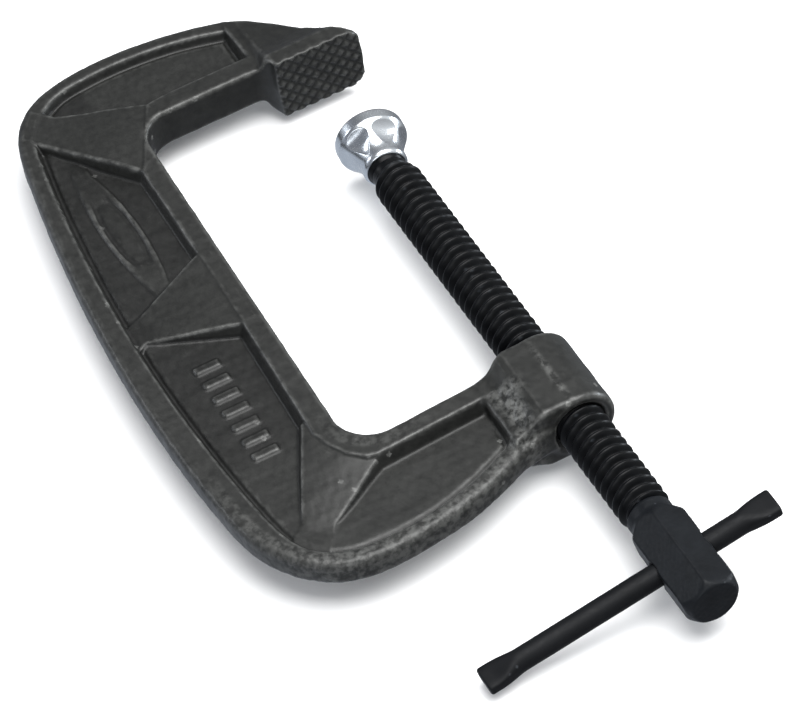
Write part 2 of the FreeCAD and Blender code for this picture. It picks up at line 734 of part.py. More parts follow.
def build_tommy_bar():
    """Drawn along local Z, with the wide side of its flattened ends along local X."""
    near, far = dim("handle_near"), dim("handle_far")
    rod = doc.addObject("Part::Cylinder", "rod")
    rod.setExpression("Radius", "dims.handle_rad")
    rod.setExpression("Height", "dims.handle_near + dims.handle_far")
    rod.setExpression("Placement.Base.z", "-dims.handle_far")
    rod_near = cut("rod_near", rod, end_flats("flats_near", near, 1))
    rod_flat = cut("rod_flat", rod_near, end_flats("flats_far", -far, -1))
    bar = fuse("tommy_bar", [
        rod_flat,
        end_fan("fan_near", near - 0.15, 1),
        end_fan("fan_far", -far + 0.15, -1),
    ])
    # local Z goes along the handle, local X along the screw
    local_y = Vector(0, -math.sin(HANDLE_TURN), math.cos(HANDLE_TURN))
    bar.Placement = Placement(
        Vector(dim("handle_x"), 0, 0), Rotation(X_AXIS, local_y, HANDLE_AXIS, "ZXY"))
    return bar


# ---------------------------------------------------------------------- output
pieces = [
    build_frame(), build_screw(), build_ball_stud(), build_swivel_pad(), build_tommy_bar(),
]
doc.recompute()

bad = [o.Name for o in doc.Objects if "Invalid" in o.State or "Error" in o.State]
if bad:
    raise RuntimeError("objects with errors: " + ", ".join(bad))
for piece in pieces:
    shape = piece.Shape
    if shape.isNull() or not shape.isValid() or len(shape.Solids) != 1:
        raise RuntimeError(f"{piece.Label} is not one valid solid ({len(shape.Solids)})")
    shape.exportStep(f"parts/{piece.Label}.step")
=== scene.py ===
"""A screw clamp lying flat: a C-shaped casting, a threaded screw, a swivel pad and a tommy bar.

The screw axis is x, through y = z = 0. The gripping face of the casting is at x = 0, its
threaded boss is at the +x end, its spine runs below at -y, and z is across its thickness.
Lengths are millimetres unless noted; meshes are written in metres.
"""

import math

import bpy
import numpy as np
from mathutils import Matrix, Vector


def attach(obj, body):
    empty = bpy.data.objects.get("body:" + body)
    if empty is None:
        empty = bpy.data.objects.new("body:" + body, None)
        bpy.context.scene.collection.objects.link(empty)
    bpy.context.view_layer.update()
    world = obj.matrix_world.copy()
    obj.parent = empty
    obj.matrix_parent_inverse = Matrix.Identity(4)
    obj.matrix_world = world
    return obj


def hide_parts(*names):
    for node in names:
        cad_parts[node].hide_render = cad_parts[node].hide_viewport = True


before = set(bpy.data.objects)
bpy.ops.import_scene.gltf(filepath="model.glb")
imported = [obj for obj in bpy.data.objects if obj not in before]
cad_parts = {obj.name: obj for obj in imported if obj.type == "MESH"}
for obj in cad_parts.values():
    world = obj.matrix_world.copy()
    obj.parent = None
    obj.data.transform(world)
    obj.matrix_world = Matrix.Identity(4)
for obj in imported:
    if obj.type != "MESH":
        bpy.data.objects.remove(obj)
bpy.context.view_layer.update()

UNIT = 1.0417  # millimetres per drawing unit, for the plan outlines of the casting
METRE = 0.001  # metres per millimetre

# Thread, shared by the screw and the boss
PITCH = 2.822
THREAD_START = 40.5
CREST_RADIUS = 6.25
ROOT_RADIUS = 4.80
THREAD_END = THREAD_START + 46 * PITCH

# Casting: half thicknesses at the flange, the rim and the gripping face
FLANGE = 5.5
RIM = 3.6
ANVIL_HALF = 9.2
WALL_SLOPE = 2.9  # fall per millimetre outside a raised region
BOSS_START, BOSS_END = 114.9, 139.1
BOSS_RADIUS = 9.25

# Tommy bar and the screw head it passes through
BAR_X = 187.0
BAR_RADIUS = 2.85
BAR_SHORT, BAR_LONG = 25.0, 53.1  # reach from the screw axis on the +y and -y sides
BAR_TURN = math.radians(9.5)  # about x, from +y towards +z
HEAD_START, HEAD_END = 174.0, 202.4

# Plan tables, (x, y) in drawing units
OUTER = [
    (-1.3, 12.9), (-3.6, 9.4), (-7.4, 5.6), (-13.4, 1.4), (-19.2, -2.8),
    (-23.8, -7.0), (-27.4, -12.2), (-29.6, -18.0), (-31.2, -24.4), (-32.4, -32.1),
    (-33.0, -40.0), (-32.9, -47.0), (-32.0, -54.0), (-30.0, -60.6), (-26.4, -66.2),
    (-20.4, -70.6), (-12.0, -73.2), (-5.0, -74.4), (6.0, -76.2), (19.0, -78.0),
    (34.0, -79.7), (50.0, -81.0), (66.0, -81.8), (82.0, -82.0), (96.0, -81.7),
    (109.0, -80.9), (120.0, -79.7), (127.0, -77.9), (132.3, -75.3), (136.9, -72.0),
    (140.6, -68.0), (143.1, -63.6), (144.5, -58.0), (144.8, -51.3), (144.0, -42.0),
    (142.2, -32.0), (139.6, -24.0), (136.4, -16.5),
]
# The opening of the C, (x, y, corner radius); the two ends are not rounded
WINDOW = [
    (0.0, -9.7, 0.0), (-4.8, -11.4, 4.5), (-4.8, -45.05, 7.6),
    (114.5, -47.5, 9.2), (112.7, -10.9, 5.0), (110.3, -8.3, 0.0),
]
# Outer limit of the flange around the opening
LIP = [
    (-10.8, 30.0), (-10.8, -35.0), (-10.2, -40.6), (10.0, -50.8),
    (41.0, -51.3), (67.0, -51.9), (101.5, -53.2), (106.3, -53.4),
    (111.3, -52.0), (115.8, -49.6), (119.2, -46.0), (119.7, -43.5),
    (118.2, -16.0), (118.2, 30.0),
]
LIP_CORNER = 2.0
# Sunken channel inside the rim: its curved outer side, then the straight return
CHANNEL_OUTER = [
    (-23.4, -12.9), (-25.6, -19.5), (-27.1, -25.5), (-28.2, -33.0),
    (-28.7, -41.0), (-28.3, -49.5), (-27.2, -56.2), (-24.5, -61.2),
    (-20.4, -65.2), (-14.3, -68.2), (-5.0, -70.0), (6.0, -71.6),
    (15.5, -72.7), (25.5, -73.7), (36.0, -74.6), (48.0, -75.3),
    (60.0, -75.7), (72.0, -75.8), (85.5, -75.5), (99.5, -74.8),
    (111.0, -73.9), (121.0, -72.8), (128.0, -71.5), (133.4, -69.2),
    (137.4, -65.3), (139.8, -59.5), (140.5, -51.5), (140.1, -43.5),
    (138.9, -36.0), (136.7, -28.2), (133.6, -20.8), (131.4, -16.1),
]
CHANNEL_RETURN = [(119.3, -14.8), (112.0, -20.0), (112.0, -44.0), (0.0, -44.0), (-8.0, -12.8)]
# Gussets across the channel: at the anvil corner, mid spine and the boss corner
RIB_ANVIL = [
    (-10.4, -40.4), (-20.8, -60.2), (-26.0, -64.5), (-18.5, -71.0),
    (-12.2, -66.0), (10.2, -50.4), (6, -44), (-6, -38),
]
RIB_MIDDLE = [
    (41.0, -48.0), (41.3, -51.9), (48.9, -69.9), (51.0, -77.0),
    (59.4, -77.0), (57.4, -72.6), (66.8, -52.0), (67.0, -48.0),
]
RIB_BOSS = [
    (101.3, -54.0), (125.7, -66.6), (131.5, -74.2), (141.2, -67.6), (132.6, -61.5),
    (129.8, -59.8), (127.2, -55.2), (123.5, -49.5), (119.8, -43.6), (112.0, -44.0),
    (104.0, -50.0),
]
# Flat that joins the boss to the arm
BOSS_ROOT = [
    (110.6, 0.6), (110.6, -7.4), (111.4, -10.0), (112.8, -12.6), (113.8, -16.6),
    (134.2, -16.6), (133.6, -13.6), (133.2, -10.6), (133.2, -7.0), (133.2, 0.6),
]

# Half thickness tables of the casting
RIB_MIDDLE_HEIGHT = [  # (-y in drawing units, half thickness)
    (50.5, FLANGE - 0.05), (56.0, 4.75), (66.0, 3.25), (71.5, 2.35), (76.0, 1.8),
]
ARM_HEIGHT = [(-27.0, RIM), (-22.0, 4.1), (-11.5, 5.45), (0.0, FLANGE)]  # (x, half thickness)
ANVIL_HEIGHT = [  # (x, half thickness)
    (-26.0, RIM), (-20.5, 4.5), (-17.0, 5.2), (-13.6, 5.95), (-10.6, 6.75),
    (-8.2, 7.6), (-6.6, 8.35), (-5.5, 8.95), (-4.9, ANVIL_HALF), (3.0, ANVIL_HALF),
]
BOSS_ROOT_HEIGHT = [  # (y, half thickness)
    (-17.5 * UNIT, FLANGE - 0.6), (-15.6 * UNIT, FLANGE - 0.1), (-13.6 * UNIT, 6.05),
    (-11.6 * UNIT, 7.25), (-9.6 * UNIT, 8.55), (-8.0 * UNIT, BOSS_RADIUS - 0.1),
    (-1.0, BOSS_RADIUS - 0.1), (1.5, BOSS_RADIUS - 0.15),
]
RUB_SPOTS = [  # (x, y in drawing units), (x, y reach in millimetres), amount
    ((127.0, -12.3), (6.0, 2.4), 1.0), ((121.5, -12.0), (3.2, 4.0), 0.8),
    ((124.0, -1.2), (11.0, 0.9), 0.55), ((133.5, -14.0), (4.0, 5.0), 0.6),
]


# ----------------------------------------------------------------- field tools
# A field is negative inside a solid and positive outside.
def smooth_max(first, second, blend):
    share = np.clip(0.5 + 0.5 * (first - second) / blend, 0.0, 1.0)
    return second + (first - second) * share + blend * share * (1.0 - share)


def smooth_min(first, second, blend):
    return -smooth_max(-first, -second, blend)


def ramp(distance, width):
    """0 below -width, the distance above width, and a smooth quadratic between."""
    eased = (distance + width) ** 2 / (4.0 * width)
    return np.where(distance > width, distance, np.where(distance < -width, 0.0, eased))


def step(value, start, end):
    share = np.clip((value - start) / (end - start), 0.0, 1.0)
    return share * share * (3.0 - 2.0 * share)


def profile(value, table):
    """Straight-line reading of a table of (station, value) rows."""
    stations, values = zip(*table)
    return np.interp(value, stations, values)


def round_max(first, second, radius):
    """Largest of two fields with the shared edge rounded."""
    first, second = first + radius, second + radius
    outside = np.hypot(np.maximum(first, 0.0), np.maximum(second, 0.0))
    return np.minimum(np.maximum(first, second), 0.0) + outside - radius


def polygon(x, y, points):
    """Signed distance to a closed polygon, negative inside."""
    points = np.asarray(points, float)
    nearest = np.full(x.shape, 1e18)
    inside = np.zeros(x.shape, bool)
    for (ax, ay), (bx, by) in zip(points, np.roll(points, -1, axis=0)):
        edge_x, edge_y = bx - ax, by - ay
        square = edge_x * edge_x + edge_y * edge_y
        if square < 1e-14:
            continue
        share = np.clip(((x - ax) * edge_x + (y - ay) * edge_y) / square, 0.0, 1.0)
        off_x, off_y = x - (ax + share * edge_x), y - (ay + share * edge_y)
        nearest = np.minimum(nearest, off_x * off_x + off_y * off_y)
        if ay != by:
            crosses = (ay > y) != (by > y)
            inside ^= crosses & (x < (bx - ax) * (y - ay) / (by - ay) + ax)
    distance = np.sqrt(nearest)
    return np.where(inside, -distance, distance)


def scaled(points):
    return [(x * UNIT, y * UNIT) for x, y in points]


def curve(points, count=10):
    """Centripetal Catmull-Rom through drawing points, in millimetres."""
    path = np.asarray(points, float) * UNIT
    path = np.vstack([2 * path[0] - path[1], path, 2 * path[-1] - path[-2]])
    levels = (((0, 1), (1, 2), (2, 3)), ((0, 2), (1, 3)), ((1, 2),))
    result = []
    for i in range(1, len(path) - 2):
        control = path[i - 1:i + 3]
        knots = [0.0]
        for start, end in zip(control, control[1:]):
            knots.append(knots[-1] + np.linalg.norm(end - start) ** 0.5)
        for k in range(count):
            at = knots[1] + (knots[2] - knots[1]) * k / count
            layer = control
            for spans in levels:
                layer = [
                    (knots[b] - at) / (knots[b] - knots[a]) * start
                    + (at - knots[a]) / (knots[b] - knots[a]) * end
                    for (a, b), start, end in zip(spans, layer, layer[1:])
                ]
            result.append(tuple(layer[0]))
    result.append(tuple(path[-2]))
    return result


def round_corners(corners, count=14):
    """Polyline in millimetres with arcs at the inner (x, y, radius) drawing corners."""
    table = np.asarray(corners, float) * UNIT
    points, radii = table[:, :2], table[:, 2]
    result = [tuple(points[0])]
    for i in range(1, len(points) - 1):
        back = points[i - 1] - points[i]
        ahead = points[i + 1] - points[i]
        back, ahead = back / np.linalg.norm(back), ahead / np.linalg.norm(ahead)
        half = math.acos(float(np.clip(back @ ahead, -1, 1))) / 2
        setback = radii[i] / math.tan(half)
        bisector = (back + ahead) / np.linalg.norm(back + ahead)
        centre = points[i] + bisector * radii[i] / math.sin(half)
        first = points[i] + back * setback - centre
        last = points[i] + ahead * setback - centre
        start = math.atan2(first[1], first[0])
        sweep = math.atan2(last[1], last[0]) - start
        sweep = (sweep + math.pi) % (2 * math.pi) - math.pi
        for k in range(count + 1):
            angle = start + sweep * k / count
            result.append((centre[0] + radii[i] * math.cos(angle),
                           centre[1] + radii[i] * math.sin(angle)))
    result.append(tuple(points[-1]))
    return result


def noise(points, size, seed):
    """Smooth seeded noise between about -1 and 1 with features of the given size."""
    rng = np.random.default_rng(seed)
    waves = rng.normal(size=(14, 3))
    waves /= np.linalg.norm(waves, axis=1, keepdims=True)
    waves = waves * (2 * math.pi / size) * rng.uniform(0.6, 1.5, (14, 1))
    phases = rng.uniform(0, 2 * math.pi, 14)
    total = np.zeros(len(points))
    for wave, phase in zip(waves, phases):
        total += np.sin(points @ wave + phase)
    return total / 3.8


def thread_radius(x, angle):
    """Rounded right-hand thread: groove centred on the helix, crests between."""
    turn = (x - THREAD_START) / PITCH - angle / (2 * math.pi) - 0.25
    turn = turn - np.round(turn)
    rise = 0.5 - 0.5 * np.cos(2 * math.pi * np.abs(turn))
    return ROOT_RADIUS + (CREST_RADIUS - ROOT_RADIUS) * rise ** 0.72


# ------------------------------------------------------------------ mesh tools
def sample(field, points):
    """Trilinear value and gradient of a grid at points in grid units."""
    points = np.clip(points, 0, np.array(field.shape) - 1.001)
    base = points.astype(int)
    part = points - base
    value, gradient = np.zeros(len(points)), np.zeros((len(points), 3))
    for cell_corner in np.ndindex(2, 2, 2):
        here = field[tuple((base + cell_corner).T)]
        weight = np.where(cell_corner, part, 1 - part)
        value += here * weight.prod(1)
        for axis in range(3):
            sign = 2 * cell_corner[axis] - 1
            gradient[:, axis] += here * sign * np.delete(weight, axis, 1).prod(1)
    return value, gradient


def square_length(gradient):
    return np.maximum((gradient ** 2).sum(1), 1e-9)


def surface_net(field, low, spacing, passes=3):
    """Closed quad mesh of field = 0: vertices, quads and outward normals."""
    negative = field < 0
    size_x, size_y, size_z = np.array(field.shape) - 1
    inside = np.zeros((size_x, size_y, size_z), np.uint8)
    for i, j, k in np.ndindex(2, 2, 2):
        inside += negative[i:size_x + i, j:size_y + j, k:size_z + k]
    active = np.argwhere((inside > 0) & (inside < 8))
    index = np.full(inside.shape, -1, np.int32)
    index[tuple(active.T)] = np.arange(len(active), dtype=np.int32)

    # One vertex per cell that the surface passes, at the mean of its edge crossings
    unit_steps = np.eye(3, dtype=int)
    total = np.zeros((len(active), 3))
    count = np.zeros(len(active))
    for axis in range(3):
        along = unit_steps[axis]
        for offsets in np.ndindex(2, 2):
            origin = np.insert(offsets, axis, 0)
            start = field[tuple((active + origin).T)]
            end = field[tuple((active + origin + along).T)]
            crosses = (start < 0) != (end < 0)
            share = np.where(crosses, start / np.where(crosses, start - end, 1.0), 0.0)
            total += np.where(crosses[:, None], origin + share[:, None] * along, 0.0)
            count += crosses
    vertices = active + total / count[:, None]

    # One quad around every grid edge that changes sign
    quads = []
    for axis in range(3):
        second, third = (axis + 1) % 3, (axis + 2) % 3
        change = np.argwhere(np.diff(negative, axis=axis))
        change = change[(change[:, second] > 0) & (change[:, third] > 0)]
        step_a, step_b = unit_steps[second], unit_steps[third]
        cells = [change - step_a - step_b, change - step_b, change, change - step_a]
        ids = np.stack([index[tuple(cell.T)] for cell in cells], 1)
        flip = ~negative[tuple(change.T)]
        ids[flip] = ids[flip][:, ::-1]
        quads.append(ids)
    quads = np.vstack(quads)

    for _ in range(passes):
        value, gradient = sample(field, vertices)
        square = square_length(gradient)
        move = -gradient * (value / square)[:, None]
        length = np.linalg.norm(move, axis=1)
        move *= np.minimum(1.0, 0.35 / np.maximum(length, 1e-9))[:, None]
        vertices = vertices + move
        # Even out the net a little along the surface
        total, count = np.zeros_like(vertices), np.zeros(len(vertices))
        for a, b in ((0, 1), (1, 2), (2, 3), (3, 0)):
            for own, other in ((quads[:, a], quads[:, b]), (quads[:, b], quads[:, a])):
                total += np.stack([np.bincount(own, vertices[other, axis], len(vertices))
                                   for axis in range(3)], 1)
                count += np.bincount(own, minlength=len(vertices))
        slide = total / np.maximum(count, 1)[:, None] - vertices
        normal = gradient / np.sqrt(square)[:, None]
        slide -= normal * (slide * normal).sum(1)[:, None]
        vertices = vertices + 0.3 * slide
    value, gradient = sample(field, vertices)
    square = square_length(gradient)
    vertices = vertices - gradient * np.clip(value / square, -0.3, 0.3)[:, None]
    return np.asarray(low) + vertices * spacing, quads, gradient / np.sqrt(square)[:, None]


def mesh_object(name, vertices, faces, body, material):
    """Smooth object from millimetre vertices and a list of face index arrays."""
    mesh = bpy.data.meshes.new(name)
    mesh.vertices.add(len(vertices))
    mesh.vertices.foreach_set("co", (np.asarray(vertices) * METRE).astype(np.float32).ravel())
    loops = np.concatenate([group.ravel() for group in faces]).astype(np.int32)
    sizes = np.concatenate([np.full(len(g), g.shape[1]) for g in faces]).astype(np.int32)
    starts = np.concatenate([[0], np.cumsum(sizes)[:-1]]).astype(np.int32)
    mesh.loops.add(len(loops))
    mesh.loops.foreach_set("vertex_index", loops)
    mesh.polygons.add(len(sizes))
    mesh.polygons.foreach_set("loop_start", starts)
    mesh.polygons.foreach_set("loop_total", sizes)
    mesh.polygons.foreach_set("use_smooth", np.ones(len(sizes), bool))
    mesh.update(calc_edges=True)
    mesh.validate()
    obj = bpy.data.objects.new(name, mesh)
    bpy.context.scene.collection.objects.link(obj)
    mesh.materials.append(material)
    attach(obj, body)
    return obj


def circle(count):
    return np.linspace(0, 2 * math.pi, count, endpoint=False)


def revolve(x, radius, angle):
    return np.stack([x, radius * np.cos(angle), radius * np.sin(angle)], -1)


def ring_grid(rings):
    """Quads between (ring, point, xyz) closed loops, and a fan over each end."""
    count, around = rings.shape[:2]
    a = np.arange(around)
    b = (a + 1) % around
    row = np.arange(count - 1)[:, None] * around
    quads = np.stack([row + a, row + b, row + around + b, row + around + a], -1)
    first_centre = count * around
    last = first_centre - around
    first_fan = np.stack([np.full(around, first_centre), b, a], 1)
    last_fan = np.stack([np.full(around, first_centre + 1), last + a, last + b], 1)
    vertices = np.vstack([rings.reshape(-1, 3), rings[0].mean(0), rings[-1].mean(0)])
    return vertices, [quads.reshape(-1, 4), np.vstack([first_fan, last_fan])]


def flipped(faces):
    return [group[:, ::-1] for group in faces]


# ------------------------------------------------------------------- materials
def grey(value):
    return (value, value, value)


class Shader:
    """Adds nodes to a tree; an input is given as a plain value or as a socket to link."""

    def __init__(self, tree):
        self.tree = tree

    def feed(self, node, inputs):
        for key, value in inputs.items():
            socket = node.inputs[key]
            if isinstance(value, bpy.types.NodeSocket):
                self.tree.links.new(value, socket)
            elif socket.type == "RGBA":
                socket.default_value = (*value, 1.0)
            else:
                socket.default_value = value

    def add(self, kind, inputs=None, **settings):
        node = self.tree.nodes.new(kind)
        for key, value in settings.items():
            setattr(node, key, value)
        self.feed(node, inputs or {})
        return node

    def noise(self, scale, detail, roughness, stretch=None):
        node = self.add("ShaderNodeTexNoise",
                        {"Scale": scale, "Detail": detail, "Roughness": roughness})
        source = self.coordinates
        if stretch is not None:
            mapping = self.add("ShaderNodeMapping", {"Scale": stretch, "Vector": source})
            source = mapping.outputs["Vector"]
        self.feed(node, {"Vector": source})
        return node.outputs["Fac"]

    def ramp(self, factor, stops):
        node = self.add("ShaderNodeValToRGB", {"Fac": factor})
        elements = node.color_ramp.elements
        while len(elements) < len(stops):
            elements.new(0.5)
        for element, (position, colour) in zip(elements, stops):
            element.position = position
            element.color = (*colour, 1.0)
        return node.outputs["Color"]

    def mix(self, factor, first, second, blend="MIX"):
        # On a colour mix, 0 is the factor and 6 and 7 are the two colours
        return self.add("ShaderNodeMix", {0: factor, 6: first, 7: second},
                        data_type="RGBA", blend_type=blend).outputs[2]

    def math(self, operation, first, second, clamp=False):
        return self.add("ShaderNodeMath", {0: first, 1: second},
                        operation=operation, use_clamp=clamp).outputs[0]

    def bump(self, height, strength, distance, below=None):
        """Bump with its distance in metres, over an earlier bump if one is given."""
        inputs = {"Strength": strength, "Distance": distance, "Height": height}
        if below is not None:
            inputs["Normal"] = below
        return self.add("ShaderNodeBump", inputs).outputs["Normal"]

    def attribute(self, name):
        return self.add("ShaderNodeAttribute", attribute_name=name).outputs["Fac"]

    def edge_wear(self, low, high, scale):
        """Raised edges, broken up by noise."""
        geometry = self.add("ShaderNodeNewGeometry")
        edge = self.ramp(geometry.outputs["Pointiness"], [(low, grey(0)), (high, grey(1))])
        breaks = self.noise(scale=scale, detail=5.0, roughness=0.6)
        broken = self.ramp(breaks, [(0.35, grey(0.15)), (0.62, grey(1))])
        return self.mix(1.0, edge, broken, "MULTIPLY")


def new_material(name, textured=True):
    material = bpy.data.materials.new(name)
    material.use_nodes = True
    material.node_tree.nodes.clear()
    shader = Shader(material.node_tree)
    output = shader.add("ShaderNodeOutputMaterial")
    surface = shader.add("ShaderNodeBsdfPrincipled")
    shader.feed(output, {"Surface": surface.outputs["BSDF"]})
    if textured:
        shader.coordinates = shader.add("ShaderNodeTexCoord").outputs["Object"]
    return material, shader, surface


def cast_material():
    """Dark satin coat: edges paler as wear and painted highlight, spots rubbed paler, pocket
    floors darker as painted shade.
    """
    material, shader, surface = new_material("cast_satin")
    broad = shader.noise(scale=60.0, detail=5.0, roughness=0.6)
    fine = shader.noise(scale=520.0, detail=6.0, roughness=0.62)
    grain = shader.noise(scale=2400.0, detail=3.0, roughness=0.6)
    base = shader.ramp(broad, [(0.30, (0.0105, 0.0110, 0.0103)), (0.70, (0.0165, 0.0170, 0.0160))])
    mottle = shader.ramp(fine, [(0.35, grey(0.82)), (0.68, (1.22, 1.22, 1.20))])
    colour = shader.mix(1.0, base, mottle, "MULTIPLY")
    # Edge lightening from pointiness: partly real wear, partly a painted highlight along the
    # raised edges
    wear = shader.edge_wear(low=0.504, high=0.545, scale=420.0)
    rub = shader.attribute("rub")
    patches = shader.ramp(fine, [(0.42, grey(0)), (0.60, grey(1))])
    worn_and_painted_highlight = shader.math("MAXIMUM", wear, shader.math("MULTIPLY", rub, patches), clamp=True)
    # The anvil face, at 0.30 in the mask, keeps little of the edge lightening; the pocket floors
    # keep all of it
    spared = shader.ramp(shader.attribute("painted_shade_and_anvil_face"),
                         [(0.0, grey(1)), (0.30, grey(0.38)), (0.60, grey(1))])
    worn_and_painted_highlight = shader.math("MULTIPLY", worn_and_painted_highlight, spared)
    # Paler colour for wear and rubbed spots, which also serves as the painted edge highlight
    colour = shader.mix(worn_and_painted_highlight, colour, (0.125, 0.127, 0.122))
    # Painted shade: colour darkened down to 0.55 on the pocket floors, where the mask passes 0.35
    shade = shader.ramp(shader.attribute("painted_shade_and_anvil_face"),
                        [(0.0, grey(1)), (0.35, grey(1)), (1.0, grey(0.55))])
    colour = shader.mix(1.0, colour, shade, "MULTIPLY")
    rough = shader.ramp(fine, [(0.3, grey(0.40)), (0.7, grey(0.54))])
    rough = shader.mix(worn_and_painted_highlight, rough, grey(0.30))
    lumps = shader.bump(fine, strength=0.30, distance=0.00020)
    shader.feed(surface, {
        "Base Color": colour,
        "Roughness": rough,
        "Metallic": 0.20,
        "Specular IOR Level": 0.34,
        "Coat Weight": 0.11,
        "Coat Roughness": 0.22,
        "Normal": shader.bump(grain, strength=0.22, distance=0.00006, below=lumps),
    })
    return material


def oxide_material(name, dark, light, smooth, rough, stretch=None):
    """Blackened steel between two colours and two roughnesses."""
    material, shader, surface = new_material(name)
    broad = shader.noise(scale=140.0, detail=5.0, roughness=0.6, stretch=stretch)
    fine = shader.noise(scale=1500.0, detail=5.0, roughness=0.6, stretch=stretch)
    colour = shader.ramp(broad, [(0.3, dark), (0.7, light)])
    wear = shader.edge_wear(low=0.53, high=0.62, scale=700.0)
    colour = shader.mix(shader.math("MULTIPLY", wear, 0.45), colour, (0.060, 0.066, 0.075))
    roughness = shader.ramp(fine, [(0.3, grey(smooth)), (0.7, grey(rough))])
    lumps = shader.bump(broad, strength=0.18, distance=0.00018)
    shader.feed(surface, {
        "Base Color": colour,
        "Roughness": roughness,
        "Metallic": 0.15,
        "Specular IOR Level": 0.16,
        "Normal": shader.bump(fine, strength=0.25, distance=0.00005, below=lumps),
    })
    return material


def chrome_material():
    material, shader, surface = new_material("pad_plating")
    broad = shader.noise(scale=220.0, detail=3.0, roughness=0.5)
    fine = shader.noise(scale=2600.0, detail=4.0, roughness=0.6, stretch=(1.0, 4.0, 4.0))
    colour = shader.ramp(broad, [(0.3, (0.54, 0.575, 0.61)), (0.7, (0.63, 0.665, 0.70))])
    wear = shader.edge_wear(low=0.55, high=0.66, scale=900.0)
    colour = shader.mix(shader.math("MULTIPLY", wear, 0.5), colour, (0.80, 0.81, 0.82))
    roughness = shader.ramp(fine, [(0.3, grey(0.20)), (0.75, grey(0.30))])
    waves = shader.bump(broad, strength=0.10, distance=0.00015)
    shader.feed(surface, {
        "Base Color": colour,
        "Roughness": roughness,
        "Metallic": 1.0,
        "Normal": shader.bump(fine, strength=0.05, distance=0.00003, below=waves),
    })
    return material


# ------------------------------------------------------------------ the casting
def spine_relief(x, y):
    """Raised oval ring with a domed centre, and a row of seven bars, in the spine."""
    off_x = x - 22.5 * UNIT
    long_half, short_half = 19.0 * UNIT, 3.9 * UNIT
    across = (y + 62.6 * UNIT - 0.012 * off_x) / short_half
    oval = np.sqrt((off_x / long_half) ** 2 + across ** 2)
    flatness = np.maximum(0.35, np.abs(across) / np.maximum(oval, 1e-6))
    ring = 0.55 * np.exp(-((oval - 1.0) * short_half * flatness / 0.55) ** 4)
    dome = 0.42 * np.sqrt(np.clip(1.0 - (oval / 0.66) ** 2, 0.0, 1.0))
    relief = np.maximum(ring, dome)
    for n in range(7):
        side_x = np.abs(x - (71.5 + 5.1 * n) * UNIT) - 0.75
        side_y = np.abs(y + 63.9 * UNIT) - 2.9
        bar = round_max(side_x - 0.45, side_y - 0.45, 0.45)
        relief = np.maximum(relief, 0.6 * (1 - step(bar, -0.35, 0.35)))
    return relief


def casting_height(x, y, off_outline, off_lip, off_channel):
    """Half thickness of the casting over its plan."""
    def raised(top, distance, blend):
        return top - WALL_SLOPE * ramp(distance, blend)

    def rib(top, points, blend):
        return raised(top, polygon(x, y, scaled(points)), blend)

    # Pocket floor, swollen under the oval, with a groove just inside the channel edge
    floor = 1.70 + 0.55 * step(x, 2 * UNIT, 16 * UNIT) * (1 - step(x, 44 * UNIT, 60 * UNIT))
    floor = floor - 0.20 * step(x, 50 * UNIT, 62 * UNIT)
    floor = floor - 0.70 * np.exp(-((-off_channel - 1.25) / 0.80) ** 2)
    flange = raised(FLANGE, off_lip, 0.55)
    rim = raised(RIM - 0.06 * ramp(-off_outline - 3.2, 0.5), -off_channel, 0.45)

    # Gussets fall away from the opening
    fall = ((x / UNIT + 4.0) * -0.62 + (y / UNIT + 46.0) * -0.785) / 21.0
    rib_anvil = rib(FLANGE - 0.12 - 1.75 * step(fall, -0.05, 1.05), RIB_ANVIL, 0.5)
    rib_middle = rib(profile(-y / UNIT, RIB_MIDDLE_HEIGHT), RIB_MIDDLE, 0.4)
    off_arc = np.hypot(x - 107.0 * UNIT, y + 44.0 * UNIT) - 10.2 * UNIT
    rib_boss = rib(4.95 - 3.0 * np.clip(off_arc / (17.5 * UNIT), 0, 1.15), RIB_BOSS, 0.4)

    # Top of the arm beyond the channel, and its flare to the anvil
    arm = np.where(x > 30, 0.0, raised(profile(x, ARM_HEIGHT), -12.9 * UNIT - y, 0.45))
    anvil = profile(x, ANVIL_HEIGHT) - 1.9 * ramp(-10.6 * UNIT - y, 1.1)
    anvil = np.where((y < -16 * UNIT) | (x > 30), 0.0, anvil)

    height = smooth_max(smooth_max(flange, rim, 0.5), floor + spine_relief(x, y), 0.7)
    for part, blend in ((rib_anvil, 0.7), (rib_middle, 0.5), (rib_boss, 0.5),
                        (arm, 0.5), (anvil, 0.9)):
        height = smooth_max(height, part, blend)
    return height


def hatch_depth(y, z):
    """Crossing vee grooves that leave truncated pyramids on the gripping face."""
    spacing, half_width, depth = 2.6, 1.02, 0.80
    groove = np.zeros_like(y)
    for diagonal in ((y + z) / math.sqrt(2), (y - z) / math.sqrt(2)):
        turn = diagonal / spacing
        off = np.abs(turn - np.floor(turn) - 0.5) * spacing
        groove = np.maximum(groove, depth * (1 - np.clip(off / half_width, 0, 1)) ** 0.9)
    return groove


def add_boss(plate, x, y, z):
    """Round boss with a flat flaring into the arm, and its threaded bore."""
    radius = np.hypot(y, z)
    middle, half = (BOSS_START + BOSS_END) / 2, (BOSS_END - BOSS_START) / 2
    ends = np.abs(x - middle) - half - 0.25 * step(radius, 6.0, 9.0) + 0.25
    boss = round_max(radius - BOSS_RADIUS, ends, 1.3)
    off_root = polygon(x, y, scaled(BOSS_ROOT))
    root_tilt = np.sqrt(1 + 0.55 ** 2 * step(-y, 8.5 * UNIT, 10 * UNIT))
    root_face = (np.abs(z) - profile(y, BOSS_ROOT_HEIGHT)) / root_tilt
    boss = smooth_min(boss, round_max(off_root, root_face, 1.1), 0.5)
    joined = smooth_min(plate, boss, 1.6)

    bore = thread_radius(x, np.arctan2(z, y)) + 0.12
    mouth = 7.15 - np.minimum(np.abs(x - BOSS_START), np.abs(x - BOSS_END)) * 0.9
    bore = np.maximum(bore, np.where(mouth > 5.9, mouth, 0.0))
    return smooth_max(joined, (bore - radius) * 0.85, 0.2)


